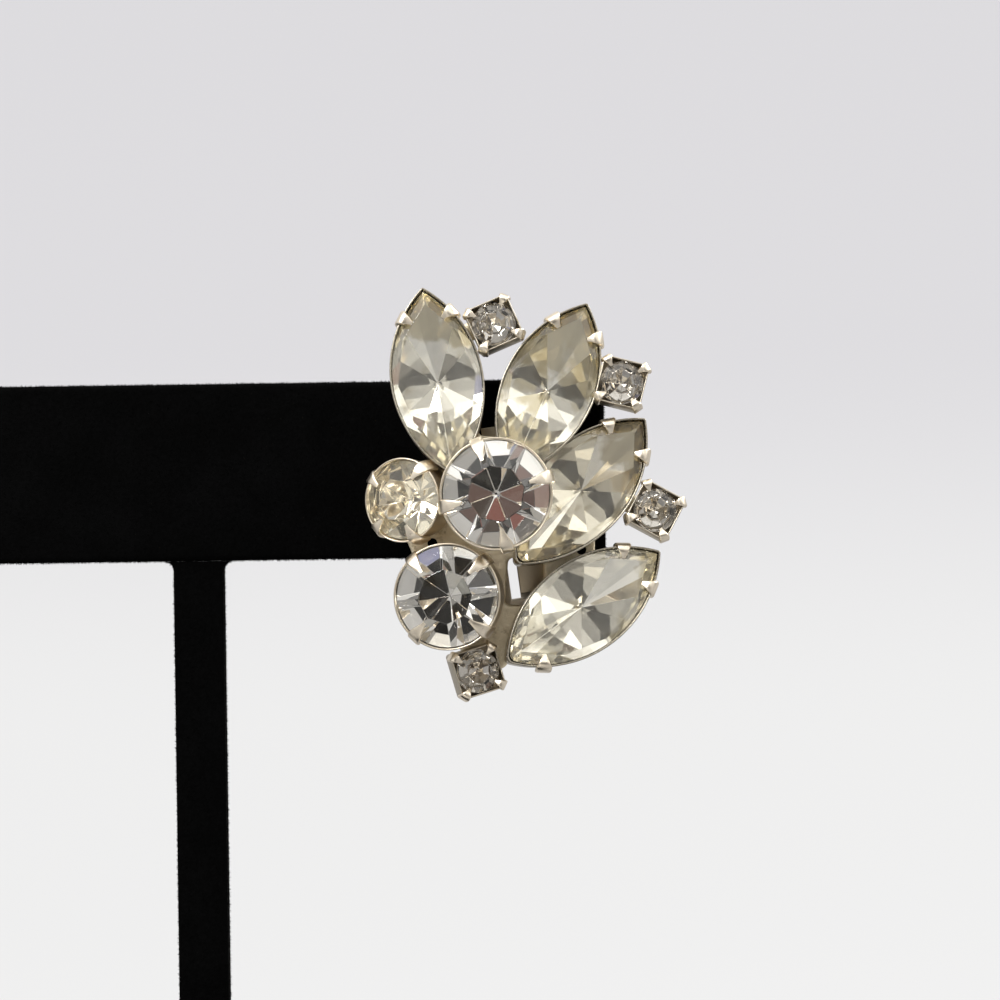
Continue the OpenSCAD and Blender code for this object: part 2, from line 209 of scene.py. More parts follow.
@dataclass(frozen=True)
class PlatedMetal(Finish):
    """Thin warm plating with tarnish in patches, fine pits and dull spots."""

    bright: Colour
    tarnish: Colour
    worn: float
    polish: float
    pit: float

    def look(self, graph: Graph, place: Field) -> Values:
        """Metal whose tarnish and gloss change over the surface.

        Args:
            graph: the material's graph.
            place: object coordinates.

        Returns:
            The shader's values.
        """
        patches = graph.noise(place, size=2.6, detail=5, rough=0.62)
        specks = graph.noise(place, size=0.35, detail=3, rough=0.6)
        pits = graph.noise(place, size=0.55, detail=4, rough=0.6)
        mask = graph.step(patches * 0.75 + specks * 0.25, low=0.62 - self.worn, high=0.78 - self.worn)
        return {
            "Base Color": graph.blend(mask, self.bright, self.tarnish), "Metallic": 1.0,
            "Roughness": specks * 0.16 + mask * 0.2 + self.polish, "Normal": graph.bump(pits, self.pit),
        }


@dataclass(frozen=True)
class CutGlass(Finish):
    """Pressed and polished glass, hazy where it is old."""

    tint: Colour
    clear: float = 1.0
    bend: float = 1.55

    def look(self, graph: Graph, place: Field) -> Values:
        """Glass with faint wear on its polish."""
        haze = graph.noise(place, size=0.8, detail=4, rough=0.6)
        return {
            "Base Color": self.tint, "Roughness": graph.step(haze, low=0.56, high=0.8, end=0.06),
            "IOR": self.bend, "Transmission Weight": self.clear,
        }


@dataclass(frozen=True)
class FoilBack(Finish):
    """Silvered foil on a stone's back, gone yellow in random patches, with painted shade that makes it darker
    and yellower towards the earring's outer tips.
    """

    silver: Colour
    yellowed: Colour
    aged: float
    haze: float
    silvered: float = 1.0
    # Share of painted shade that darkens and yellows the outer tips
    tips: float = 0.0

    def look(self, graph: Graph, place: Field) -> Values:
        """Mirror that goes yellow in random patches, with painted shade that makes it darker and yellower the
        farther it lies from a spot on the lower left, towards the earring's outer tips.

        Args:
            graph: the material's graph.
            place: object coordinates.

        Returns:
            The shader's values.
        """
        away = graph.field("ShaderNodeVectorMath", {0: place, 1: UNSHADED_SPOT}, "Value", operation="DISTANCE")
        # Painted shade: the foil gets darker and yellower the farther it lies from the lower-left spot, up to
        # the share that tips gives
        outer = graph.step(away, UNSHADED_TO, SHADED_FROM, end=self.tips)
        stains_and_shade = graph.noise(place, size=2.4, detail=3, rough=0.5) + outer
        mask = graph.step(stains_and_shade, low=0.6 - self.aged, high=0.75 - self.aged)
        dull = graph.noise(place, size=1.6, detail=2, rough=0.5)
        return {
            "Base Color": graph.blend(mask, self.silver, self.yellowed), "Metallic": self.silvered,
            "Roughness": graph.step(dull, low=0.35, high=0.7, start=self.haze, end=self.haze * 1.8),
            "Specular IOR Level": 0.2,
        }


@dataclass(frozen=True)
class Velvet(Finish):
    """Black pile that shows a faint nap."""

    dark: Colour
    nap: Colour

    def look(self, graph: Graph, place: Field) -> Values:
        """Dull cloth with a nap in soft patches."""
        brushed = (
            graph.noise(place, size=5.0, detail=3, rough=0.6) * 0.6
            + graph.noise(place, size=0.4, detail=2, rough=0.5) * 0.4
        )
        return {
            "Base Color": graph.blend(graph.step(brushed, low=0.35, high=0.7), self.dark, self.nap),
            "Normal": graph.bump(graph.noise(place, size=0.25, detail=2, rough=0.6), depth=0.08),
            "Roughness": 0.95, "Specular IOR Level": 0.02, "Sheen Weight": 0.005, "Sheen Roughness": 0.4,
        }


@dataclass(frozen=True)
class PaleSweep(Finish):
    """Pale paper of the studio's sweep, which glows a little so that it stays even, with painted light that
    is brighter low down and dimmer higher up.
    """

    low: Colour
    high: Colour
    paper: Colour = (0.12, 0.12, 0.12)

    def look(self, graph: Graph, place: Field) -> Values:
        """Paper whose painted glow gets dimmer with its height in metres, standing in for light falling off
        up the sweep.
        """
        # Painted light: the glow dims with height
        painted_falloff = graph.blend(graph.step(graph.height(place), low=0.02, high=0.095), self.low, self.high)
        return {
            "Base Color": self.paper, "Roughness": 0.9, "Specular IOR Level": 0.0,
            "Emission Color": painted_falloff, "Emission Strength": 1.0,
        }


# Bright and tarnished plating, how worn and how rough it is, and its pits
# Navette cups: the plating painted darker, as painted shade on their walls and rims
CUP_METAL_SHADED = PlatedMetal("plating_cup_painted_shade", (0.42, 0.385, 0.32), (0.2, 0.17, 0.12), 0.06, 0.18, 0.02)
PRONG_METAL = PlatedMetal("plating_prong", (0.96, 0.86, 0.71), (0.5, 0.4, 0.26), 0.0, 0.22, 0.03)
ROUND_METAL = PlatedMetal("plating_round_cup", (0.78, 0.69, 0.55), (0.42, 0.34, 0.21), 0.05, 0.26, 0.03)
BOX_METAL = PlatedMetal("plating_box", (0.6, 0.54, 0.44), (0.3, 0.25, 0.17), 0.06, 0.28, 0.04)
# Back plate: the plating painted lighter, as painted light on a plate that lies in shade
PLATE_METAL_LIT = PlatedMetal("plating_back_plate_painted_light", (0.96, 0.86, 0.66), (0.55, 0.46, 0.3), 0.08, 0.46, 0.12)
# Clip: the plating painted darker, partly for its tarnish and partly as painted shade
CLIP_METAL_SHADED = PlatedMetal("plating_clip_painted_shade", (0.5, 0.43, 0.33), (0.24, 0.19, 0.13), 0.06, 0.32, 0.02)

# Tint of the glass, and the share of it that is clear
GLASS_CLEAR = CutGlass("glass_clear", (0.985, 0.985, 0.98))
GLASS_AGED = CutGlass("glass_aged", (0.985, 0.977, 0.945), 0.975)
GLASS_GREY = CutGlass("glass_grey", (0.95, 0.945, 0.93))

# Sound silver and its yellow tone for random stains and painted shade, its age and haze, its metal's share,
# and how much painted shade the outer tips add to the yellow
FOIL_CLEAR = FoilBack("foil_silver", (0.93, 0.92, 0.9), (0.86, 0.83, 0.76), 0.0, 0.02)
FOIL_AGED_AND_SHADED = FoilBack("foil_stained_and_shaded", (0.965, 0.948, 0.893), (0.67, 0.612, 0.465), 0.0, 0.024, 0.915, 0.34)
FOIL_BROWNED_AND_SHADED = FoilBack("foil_browned_and_shaded", (0.89, 0.86, 0.78), (0.56, 0.5, 0.37), 0.02, 0.026, 0.92, 0.36)
FOIL_GREY = FoilBack("foil_greyed", (0.74, 0.72, 0.69), (0.48, 0.45, 0.41), 0.05, 0.012, 0.98)

VELVET = Velvet("velvet_black", (0.0011, 0.0011, 0.0011), (0.0021, 0.0021, 0.0022))
# Glow of the sweep low down and higher up: painted light that dims with height
SWEEP = PaleSweep("paper_pale", (0.687, 0.687, 0.689), (0.572, 0.564, 0.588))


# Mesh helpers


def loft(mesh: bmesh.types.BMesh, rings: Sequence[Sequence[Vector]], lid: bool = True) -> None:
    """Adds a skin through rings of equal length, with a face over the first one.

    Args:
        mesh: the mesh that takes the skin.
        rings: anticlockwise rings, from the outer foot to the last one.
        lid: whether the last ring gets a face too.
    """
    rows = [[mesh.verts.new(point) for point in ring] for ring in rings]
    count = len(rows[0])
    for low, high in zip(rows, rows[1:]):
        for i in range(count):
            j = (i + 1) % count
            mesh.faces.new((low[i], low[j], high[j], high[i]))
    mesh.faces.new(rows[0][::-1])
    if lid:
        mesh.faces.new(rows[-1])


def shade(piece: bpy.types.Object, angle: float) -> None:
    """Shades a piece smooth, apart from edges sharper than the angle."""
    piece.data.polygons.foreach_set("use_smooth", [True] * len(piece.data.polygons))
    piece.data.set_sharp_from_angle(angle=math.radians(angle))


def add(name: str, data: bpy.types.ID) -> bpy.types.Object:
    """Adds an object to the scene.

    Args:
        name: its name.
        data: its mesh, light or camera.

    Returns:
        The object, at the origin.
    """
    made = bpy.data.objects.new(name, data)
    bpy.context.scene.collection.objects.link(made)
    return made


def as_piece(
    name: str, mesh: bmesh.types.BMesh, place: Matrix, finishes: Sequence[Finish], smooth: float | None = None
) -> bpy.types.Object:
    """Makes an object of a mesh.

    Args:
        name: the piece's name.
        mesh: the mesh, in millimetres in its own frame.
        place: puts it in the row frame, in metres.
        finishes: its finishes, by material number.
        smooth: angle up to which edges are shaded smooth, or None for flat facets.

    Returns:
        The object, at the origin.
    """
    mesh.transform(place)
    data = bpy.data.meshes.new(name)
    mesh.to_mesh(data)
    mesh.free()
    for finish in finishes:
        data.materials.append(finish.material())
    piece = add(name, data)
    if smooth is not None:
        shade(piece, smooth)
    return piece


def settle(piece: bpy.types.Object) -> None:
    """Turns what a piece's modifiers make into its plain mesh.

    Args:
        piece: the piece.
    """
    graph = bpy.context.evaluated_depsgraph_get()
    made = bpy.data.meshes.new_from_object(piece.evaluated_get(graph), depsgraph=graph)
    piece.modifiers.clear()
    piece.data = made
    made.name = piece.name


def hand_in(piece: bpy.types.Object, slot: str, *nodes: str, body: str = BODY) -> None:
    """Hands a finished piece to the frame.

    Args:
        piece: the piece.
        slot: the record's material slot; not used.
        nodes: the solids that it stands for.
        body: the body that it rides on.
    """
    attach(piece, body)
    if nodes:
        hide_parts(*nodes)
    LOG.info("%s: %d faces", piece.name, len(piece.data.polygons))


# Geometry node trees


class Recipe(Graph):
    """A geometry tree with named sizes as its inputs."""

    def __init__(self, name: str, *sizes: str) -> None:
        """Starts the tree.

        Args:
            name: the tree's name.
            sizes: names of its inputs.
        """
        tree = bpy.data.node_groups.new(name, "GeometryNodeTree")
        tree.is_modifier = True
        kinds = {"Geometry": "Geometry", **dict.fromkeys(sizes, "Float"), "Material": "Material"}
        for label, kind in kinds.items():
            tree.interface.new_socket(label, in_out="INPUT", socket_type=f"NodeSocket{kind}")
        tree.interface.new_socket("Geometry", in_out="OUTPUT", socket_type="NodeSocketGeometry")
        super().__init__(tree)
        self.entry = self.node("NodeGroupInput")

    def given(self, name: str) -> Field:
        """An input by name."""
        return Field(self, self.entry.outputs[name])

    def vector(self, x: "Field | float" = 0.0, z: "Field | float" = 0.0) -> Field:
        """Vector without a second part."""
        return self.field("ShaderNodeCombineXYZ", {"X": x, "Z": z})

    def shake(self, limits: Triple, seed: int) -> Field:
        """Random vector for each point, up to the limits on either side of nothing."""
        values = {"Min": tuple(-limit for limit in limits), "Max": limits, "Seed": seed}
        return self.field("FunctionNodeRandomValue", values, data_type="FLOAT_VECTOR")

    def turn(self, angles: Field) -> Field:
        """Rotation by three angles."""
        return self.field("FunctionNodeEulerToRotation", {0: angles})

    def both(self, first: Field, then: Field) -> Field:
        """Rotation followed by another about its own axes."""
        values = {"Rotation": first, "Rotate By": then}
        return self.field("FunctionNodeRotateRotation", values, rotation_space="LOCAL")

    def plant(self, values: Values) -> None:
        """Ends the tree: a shape at each point, made real, in the material that is given.

        Args:
            values: the points, the shape, its rotation and its scale.
        """
        shapes = self.field("GeometryNodeInstanceOnPoints", values)
        real = self.field("GeometryNodeRealizeInstances", {0: shapes})
        worn = {"Geometry": real, "Material": self.given("Material")}
        self.node("NodeGroupOutput", {0: self.field("GeometryNodeSetMaterial", worn)})

    def apply(self, piece: bpy.types.Object, finish: Finish, sizes: dict[str, float]) -> None:
        """Runs the tree on a piece and keeps the result as its mesh.

        Args:
            piece: the piece whose mesh goes in.
            finish: finish of what comes out.
            sizes: numbers for the named inputs.
        """
        step = piece.modifiers.new(self.tree.name, "NODES")
        step.node_group = self.tree
        given = {**sizes, "Material": finish.material()}
        for item in self.tree.interface.items_tree:
            if item.in_out == "INPUT" and item.name in given:
                step[item.identifier] = given[item.name]
        settle(piece)


def prong_recipe() -> Recipe:
    """Tree that puts a folded prong at each vertex, turned by the vertex's spin.

    Returns:
        The recipe. A prong rises on the outside of the wall and folds inwards over the rim.
    """
    recipe = Recipe("folded_prongs", "Width", "Thickness", "Leg", "Proud", "Reach", "Rise", "Tip", "Wobble")
    given, vector, field = recipe.given, recipe.vector, recipe.field
    bulge, crest, inwards, corner = 1.25, 1.35, -0.3, 0.42
    path = field(
        "GeometryNodeCurvePrimitiveBezierSegment",
        {
            "Resolution": 14,
            "Start": vector(given("Proud"), given("Leg") * -1.0),
            "Start Handle": vector(given("Proud"), given("Rise") * bulge),
            "End Handle": vector(given("Reach") * inwards, given("Rise") * crest),
            "End": vector(given("Reach") * -1.0, given("Tip")),
        },
        mode="POSITION",
    )
    stepped = field("GeometryNodeResampleCurve", {"Curve": path, "Count": 18})
    upright = field("GeometryNodeSetCurveNormal", {"Curve": stepped}, mode="Z_UP")
    along = field("GeometryNodeSplineParameter", out="Factor")
    narrow = recipe.step(along, low=0.5, high=1.03, start=1.0, end=0.26)
    flat = {"Width": given("Width"), "Height": given("Thickness")}
    sheet = field("GeometryNodeCurvePrimitiveQuadrilateral", flat, mode="RECTANGLE")
    soft = {"Curve": sheet, "Radius": given("Thickness") * corner, "Count": 3}
    rounded = field("GeometryNodeFilletCurve", soft, mode="POLY")
    profile = {"Curve": upright, "Profile Curve": rounded, "Scale": narrow, "Fill Caps": True}
    spin = field("GeometryNodeInputNamedAttribute", {"Name": "spin"}, data_type="FLOAT")
    shake = recipe.shake((1.0, 1.0, 1.0), seed=7)
    wobble = field("ShaderNodeVectorMath", {0: shake, "Scale": given("Wobble")}, operation="SCALE")
    recipe.plant({
        "Points": given("Geometry"), "Instance": field("GeometryNodeCurveToMesh", profile),
        "Rotation": recipe.both(recipe.turn(vector(z=spin)), recipe.turn(wobble)),
    })
    return recipe


def pile_recipe() -> Recipe:
    """Tree that plants short leaning fibres on a board's faces, apart from those that lie on the floor.

    Returns:
        The recipe.
    """
    recipe = Recipe("velvet_pile", "Density", "Length", "Radius")
    given, field = recipe.given, recipe.field
    under, least, most = 0.3, 0.55, 1.25
    above = recipe.maths("GREATER_THAN", recipe.height(field("GeometryNodeInputPosition")), under)
    spread = recipe.node(
        "GeometryNodeDistributePointsOnFaces",
        {"Mesh": given("Geometry"), "Density": given("Density"), "Selection": above, "Seed": 11},
    )
    fibre = field(
        "GeometryNodeMeshCone",
        {"Vertices": 3, "Radius Top": 0.0, "Radius Bottom": given("Radius"), "Depth": given("Length")},
    )
    outwards = Field(recipe, spread.outputs["Rotation"])
    recipe.plant({
        "Points": Field(recipe, spread.outputs["Points"]), "Instance": fibre,
        "Rotation": recipe.both(outwards, recipe.turn(recipe.shake((0.6, 0.6, 3.1), seed=12))),
        "Scale": field("FunctionNodeRandomValue", {2: least, 3: most, "Seed": 13}, 1, data_type="FLOAT"),
    })
    return recipe


# Outlines


def swing(centre: Vector, radius: float, start: float, end: float, steps: int) -> list[Vector]:
    """Points of an arc between two angles in radians."""
    angles = (start + (end - start) * i / steps for i in range(steps + 1))
    return [centre + heading(angle) * radius for angle in angles]


@dataclass(frozen=True)
class Spot:
    """A point of an outline and the outward normal there."""

    point: Vector
    normal: Vector


def around(radius: float, angles: Iterable[float]) -> list[Spot]:
    """Spots of a circle at some angles."""
    normals = [heading(math.radians(angle)) for angle in angles]
    return [Spot(normal * radius, normal) for normal in normals]


def eight(radius: float, ridge: float) -> list[Spot]:
    """Feet of a round stone's eight facets, with a ridge between two of them at an angle."""
    count = 8
    return around(radius, (ridge + 360 * (i + 0.5) / count for i in range(count)))


class Outline:
    """A closed anticlockwise outline that can be inset by any distance."""

    def points(self, inset: float) -> list[Vector]:
        """The outline's points after an inset. Each kind of outline says where."""
        raise NotImplementedError

    def ring(self, inset: float, height: float) -> list[Vector]:
        """The outline, inset and at a height."""
        return [point.to_3d() + Vector((0, 0, height)) for point in self.points(inset)]


@dataclass(frozen=True)
class Circle(Outline):
    """Circle about a place on the face."""

    radius: float
    sides: int
    centre: Pair = (0.0, 0.0)

    def points(self, inset: float) -> list[Vector]:
        """Points round the circle."""
        last = math.tau * (1 - 1 / self.sides)
        return swing(Vector(self.centre), self.radius - inset, 0.0, last, self.sides - 1)


@dataclass(frozen=True)
class SoftSquare(Outline):
    """Square with rounded corners."""

    width: float
    corner: float

    def points(self, inset: float) -> list[Vector]:
        """Points round the square, corner by corner.

        Args:
            inset: distance inwards.

        Returns:
            The points.
        """
        radius = max(self.corner - inset, LEAST_RADIUS)
        inner = self.width / 2 - inset - radius
        found = []
        for quarter, (x, y) in enumerate(((1, 1), (-1, 1), (-1, -1), (1, -1))):
            start = quarter * math.pi / 2
            found += swing(Vector((x * inner, y * inner)), radius, start, start + math.pi / 2, steps=5)
        return found


@dataclass(frozen=True)
class Bar(Outline):
    """Bar with round ends."""

    start: Pair
    end: Pair
    width: float

    def points(self, inset: float) -> list[Vector]:
        """Points round the bar's two ends.

        Args:
            inset: distance inwards.

        Returns:
            The points.
        """
        start, end, radius = Vector(self.start), Vector(self.end), self.width / 2 - inset
        turn = math.atan2(end.y - start.y, end.x - start.x)
        found = swing(end, radius, turn - math.pi / 2, turn + math.pi / 2, steps=16)
        return found + swing(start, radius, turn + math.pi / 2, turn + 1.5 * math.pi, steps=16)


@dataclass(frozen=True)
class Almond(Outline):
    """Pointed oval along the second axis, between two arcs, whose inner half can be the longer one."""

    length: float
    width: float
    outer: float
    inner: float
    longer: float = 0.0

    @property
    def arc(self) -> float:
        """Radius of the arcs."""
        return (self.length**2 + self.width**2) / (4 * self.width)

    @property
    def shift(self) -> float:
        """Distance of each arc's centre from the middle."""
        return self.arc - self.width / 2

    def stretch(self, point: Vector) -> Vector:
        """Moves a point of the inner half outwards by the half's extra length."""
        return Vector((point.x, point.y * (1 + self.longer) if point.y < 0 else point.y))

    def at(self, side: int, angle: float) -> Spot:
        """Spot on the right arc for side 1 or the left one for -1, at an angle upwards in radians."""
        normal = Vector((side * math.cos(angle), math.sin(angle)))
        return Spot(self.stretch(normal * self.arc - Vector((side * self.shift, 0))), normal)

    def spots(self, shares: Sequence[float]) -> list[Spot]:
        """Spots on both arcs, at shares of the way from an arc's middle to its tip."""
        sweep = math.acos(self.shift / self.arc)
        return [self.at(side, share * sweep) for side in (1, -1) for share in shares]

    def points(self, inset: float) -> list[Vector]:
        """Points up the right arc, round the outer tip, down the left arc and round the inner tip.

        Args:
            inset: distance inwards.

        Returns:
            The points.
        """
        arc, centre = self.arc - inset, Vector((self.shift, 0))
        outer, inner = max(self.outer - inset, LEAST_RADIUS), max(self.inner - inset, LEAST_RADIUS)
        ahead, behind = (math.acos(self.shift / (arc - tip)) for tip in (outer, inner))
        top, low = (math.sqrt((arc - tip) ** 2 - self.shift**2) for tip in (outer, inner))
        found = swing(-centre, arc, -behind, ahead, steps=36)
        found += swing(Vector((0, top)), outer, ahead, math.pi - ahead, steps=8)[1:-1]
        found += swing(centre, arc, math.pi - ahead, math.pi + behind, steps=36)
        found += swing(Vector((0, -low)), inner, math.pi + behind, math.tau - behind, steps=8)[1:-1]
        return [self.stretch(point) for point in found]


# Cut stones


@dataclass(frozen=True)
class Cut:
    """Shape of a cut stone: its girdle, the feet of the facets above and below it, and its proportions."""

    girdle: Outline
    above: list[Spot]
    below: list[Spot]
    drop: float
    band: float
    crown: float
    depth: float
    table: float
    edge: float


class Side(Enum):
    """Material number of a stone's two kinds of face."""

    GLASS = 0
    FOIL = 1


class Stone:
    """A stone that is cut out of a prism, facet by facet."""

    spare = 0.2
    least_ridge = 0.02

    def __init__(self, cut: Cut) -> None:
        """Cuts the crown, the back and the table out of the girdle's prism.

        Args:
            cut: the stone's shape, with its girdle's top below the cup's rim by the drop.
        """
        self.edge = cut.edge
        self.mesh = bmesh.new()
        top, base = -cut.drop, -cut.drop - cut.band
        ends = (base - cut.depth - self.spare, top + cut.crown + self.spare)
        loft(self.mesh, [cut.girdle.ring(0, height) for height in ends])
        self.grind(cut.above, top, cut.crown, cut.table, Side.GLASS)
        self.grind(cut.below, base, -cut.depth, 0.0, Side.FOIL)
        self.slice(Vector((0, 0, top + cut.crown)), Vector((0, 0, 1)), Side.GLASS)

    def slice(self, point: Vector, normal: Vector, side: Side) -> None:
        """Cuts away what lies outside a plane and closes the cut.

        Args:
            point: a point of the plane.
            normal: the plane's outward normal.
            side: what the new face is.
        """
        geometry = [*self.mesh.verts, *self.mesh.edges, *self.mesh.faces]
        found = bmesh.ops.bisect_plane(
            self.mesh, geom=geometry, plane_co=point, plane_no=normal, clear_outer=True, dist=1e-5
        )
        edges = [item for item in found["geom_cut"] if isinstance(item, bmesh.types.BMEdge)]
        if len(edges) > 2:
            for face in bmesh.ops.edgeloop_fill(self.mesh, edges=edges)["faces"]:
                face.material_index = side.value
                face.tag = True

    def grind(self, feet: Sequence[Spot], level: float, rise: float, share: float, side: Side) -> None:
        """Cuts facets that rise or fall from the girdle.

        Args:
            feet: their feet.
            level: height of the feet.
            rise: height of their ends above the feet, negative on the back.
            share: share of the outline that they reach there.
            side: what the new faces are.
        """
        steep = abs(rise)
        for foot in feet:
            run = foot.point.dot(foot.normal) * (1 - share)
            normal = Vector((foot.normal.x * steep, foot.normal.y * steep, math.copysign(run, rise)))
            self.slice(foot.point.to_3d() + Vector((0, 0, level)), normal.normalized(), side)

    def finish(self, name: str, place: Matrix, finishes: Sequence[Finish]) -> bpy.types.Object:
        """Softens the ridges between the facets and makes the piece.

        Args:
            name: the piece's name.
            place: the seat's matrix.
            finishes: those of the glass and of the foil.

        Returns:
            The stone.
        """
        bmesh.ops.remove_doubles(self.mesh, verts=self.mesh.verts, dist=1e-4)
        bmesh.ops.recalc_face_normals(self.mesh, faces=self.mesh.faces)
        ridges = [
            edge for edge in self.mesh.edges
            if edge.is_manifold and all(face.tag for face in edge.link_faces)
            and edge.calc_face_angle(0) > self.least_ridge
        ]
        bmesh.ops.bevel(
            self.mesh, geom=ridges, offset=self.edge, segments=1, affect="EDGES", clamp_overlap=True,
            material=-1,
        )
        return as_piece(name, self.mesh, place, finishes)


# Settings


@dataclass(frozen=True)
class Seat:
    """Where a setting stands on the earring's face: its rim's middle, its turn and its lean."""

    across: float
    up: float
    rim: float
    turn: float = 0.0
    tilt: float = 0.0
    towards: float = 0.0

    def matrix(self) -> Matrix:
        """Puts a shape with the rim's middle as its origin in the row frame."""
        spot = Matrix.Translation((self.across, self.up, self.rim))
        return FACE @ spot @ lean(self.tilt, self.towards) @ Matrix.Rotation(math.radians(self.turn), 4, "Z")

    def foot(self, depth: float) -> Vector:
        """The place of a cup's foot on the face.

        Args:
            depth: the cup's depth.

        Returns:
            The place, at the foot's height.
        """
        step = depth * math.sin(math.radians(self.tilt))
        angle = math.radians(self.towards)
        low = self.rim - depth * math.cos(math.radians(self.tilt))
        return Vector((self.across - step * math.cos(angle), self.up - step * math.sin(angle), low))


# Insets and heights of a cup's rounded foot, its floor's height above it, and the taper's share half way up
FOOT = ((0.3, 0), (0.09, 0.07), (0, 0.28))
FLOOR = 0.4
WAIST = 0.45


@dataclass(frozen=True)
class Prongs:
    """Sizes of a setting's prongs, named as the inputs of their tree."""

    width: float
    reach: float
    leg: float
    rise: float
    tip: float
    proud: float
    thickness: float
    wobble: float = 0.07


@dataclass(frozen=True)
class Setting:
    """A stamped cup, its folded prongs and its stone, on a post of the back plate."""

    place: str
    seat: Seat
    height: float
    wall: float = 0.15
    taper: float = 0.12
    gap: float = 0.1
    post: float = 1.1
    slot: str = "crystal"
    metal: Finish = CUP_METAL_SHADED
    glass: Finish = GLASS_CLEAR
    foil: Finish = FOIL_CLEAR

    def outline(self) -> Outline:
        """Outer outline of the cup's rim."""
        raise NotImplementedError

    def anchors(self) -> list[Spot]:
        """Places of the prongs on the rim."""
        raise NotImplementedError

    def prongs(self) -> Prongs:
        """Sizes of the prongs."""
        raise NotImplementedError

    def cut(self) -> Cut:
        """Shape of the stone."""
        raise NotImplementedError

    def outer_wall(self) -> list[Pair]:
        """Insets and heights of the outer wall, from its rounded foot up."""
        foot = [(self.taper + inset, rise - self.height) for inset, rise in FOOT]
        return [*foot, (self.taper * WAIST, -self.height / 2)]

    def inner_wall(self) -> list[Pair]:
        """Insets and heights of the inner wall, from the rim down."""
        wall, taper, height = self.wall, self.taper, self.height
        return [(wall + taper * WAIST, -height / 2), (wall + taper, FLOOR - height)]

    def cup(self) -> bpy.types.Object:
        """The cup: a rounded foot, a wall with a rolled rim, and a floor.

        Returns:
            The cup's piece.
        """
        outline, half, steps = self.outline(), self.wall / 2, 6
        bend = [math.pi * i / steps for i in range(steps + 1)]
        rolled = [(half - half * math.cos(angle), -half + half * math.sin(angle)) for angle in bend]
        mesh = bmesh.new()
        profile = self.outer_wall() + rolled + self.inner_wall()
        loft(mesh, [outline.ring(inset, height) for inset, height in profile])
        return as_piece(f"cup_{self.place}", mesh, self.seat.matrix(), [self.metal], smooth=40)

    def fold_prongs(self, recipe: Recipe) -> bpy.types.Object:
        """The prongs as one piece.

        Args:
            recipe: the prongs' tree.

        Returns:
            The prongs' piece.
        """
        spots = self.anchors()
        spins = [math.atan2(spot.normal.y, spot.normal.x) for spot in spots]
        data = bpy.data.meshes.new(f"prongs_{self.place}")
        data.from_pydata([spot.point.to_3d() for spot in spots], [], [])
        data.attributes.new("spin", "FLOAT", "POINT").data.foreach_set("value", spins)
        piece = add(data.name, data)
        recipe.apply(piece, PRONG_METAL, {name.title(): size for name, size in asdict(self.prongs()).items()})
        piece.data.transform(self.seat.matrix())
        shade(piece, angle=50)
        return piece

    def stone(self) -> bpy.types.Object:
        """The cut stone."""
        return Stone(self.cut()).finish(f"stone_{self.place}", self.seat.matrix(), (self.glass, self.foil))

    def build(self, recipe: Recipe) -> None:
        """Builds and hands in the cup, the prongs and the stone. A round stone's solid is called a chaton.

        Args:
            recipe: the prongs' tree.
        """
        hand_in(self.cup(), "rhodium", "setting")
        hand_in(self.fold_prongs(recipe), "rhodium", "setting")
        hand_in(self.stone(), self.slot, self.place.replace("round", "chaton"))


@dataclass(frozen=True)
class Navette(Setting):
    """Setting of a pointed oval stone, with prongs by its tips: side and end as signs."""

    height: float = 3.2
    corners: tuple[tuple[int, int], ...] = ((1, 1), (-1, 1))
    corner_angle: float = 34.0
    length: float = 15.4
    width: float = 7.5
    girdle_length: float = 14.72
    girdle_width: float = 7.08
    blunt: float = 0.3
    longer: float = 0.0
    slot: str = "crystal_aged"
    glass: Finish = GLASS_AGED
    foil: Finish = FOIL_AGED_AND_SHADED

    def outline(self) -> Almond:
        """Pointed oval with rounded tips."""
        return Almond(self.length, self.width, 0.24, self.blunt, self.longer)

    def anchors(self) -> list[Spot]:
        """Prongs near the tips."""
        return [self.outline().at(side, end * math.radians(self.corner_angle)) for side, end in self.corners]

    def prongs(self) -> Prongs:
        """Short tabs that fold over the girdle."""
        return Prongs(width=1.3, reach=1.0, leg=1.5, rise=0.32, tip=0.0, proud=0.2, thickness=0.42)

    def cut(self) -> Cut:
        """Stone with a wide table and facets that meet at the culet."""
        oval = Almond(self.girdle_length, self.girdle_width, 0.1, self.blunt, self.longer)
        return Cut(
            oval, oval.spots((-0.78, -0.27, 0.27, 0.78)),
            oval.spots((-0.94, -0.74, -0.46, -0.15, 0.15, 0.46, 0.74, 0.94)),
            drop=0.4, band=0.1, crown=0.5, depth=self.height - 1.4, table=0.82, edge=0.05,
        )


@dataclass(frozen=True)
class RoundSetting(Setting):
    """Setting of a round stone, with prongs at their own angles."""

    radius: float = 4.5
    angles: tuple[float, ...] = (45, 135, 225, 315)
    ridge: float = 0.0
    crown_ridge: float = 0.0
    depth: float = 0.85
    edge: float = 0.04
    taper: float = 0.54
    metal: Finish = ROUND_METAL

    def outline(self) -> Outline:
        """Circle."""
        return Circle(self.radius, sides=72)

    def anchors(self) -> list[Spot]:
        """Four prongs."""
        return around(self.radius, self.angles)

    def prongs(self) -> Prongs:
        """Long tabs that lie on the crown."""
        reach = 0.38 * self.radius
        return Prongs(
            width=1.1, reach=reach, leg=1.3, rise=0.4, tip=0.8 * reach - 0.38, proud=0.14, thickness=0.34
        )

    def cut(self) -> Cut:
        """Stone with an octagonal table."""
        radius = self.radius - self.wall - self.gap
        return Cut(
            Circle(radius, sides=96), eight(radius, self.crown_ridge), eight(radius, self.ridge),
            drop=0.35, band=0.12, crown=0.4 * radius, depth=self.depth * radius, table=0.5, edge=self.edge,
        )


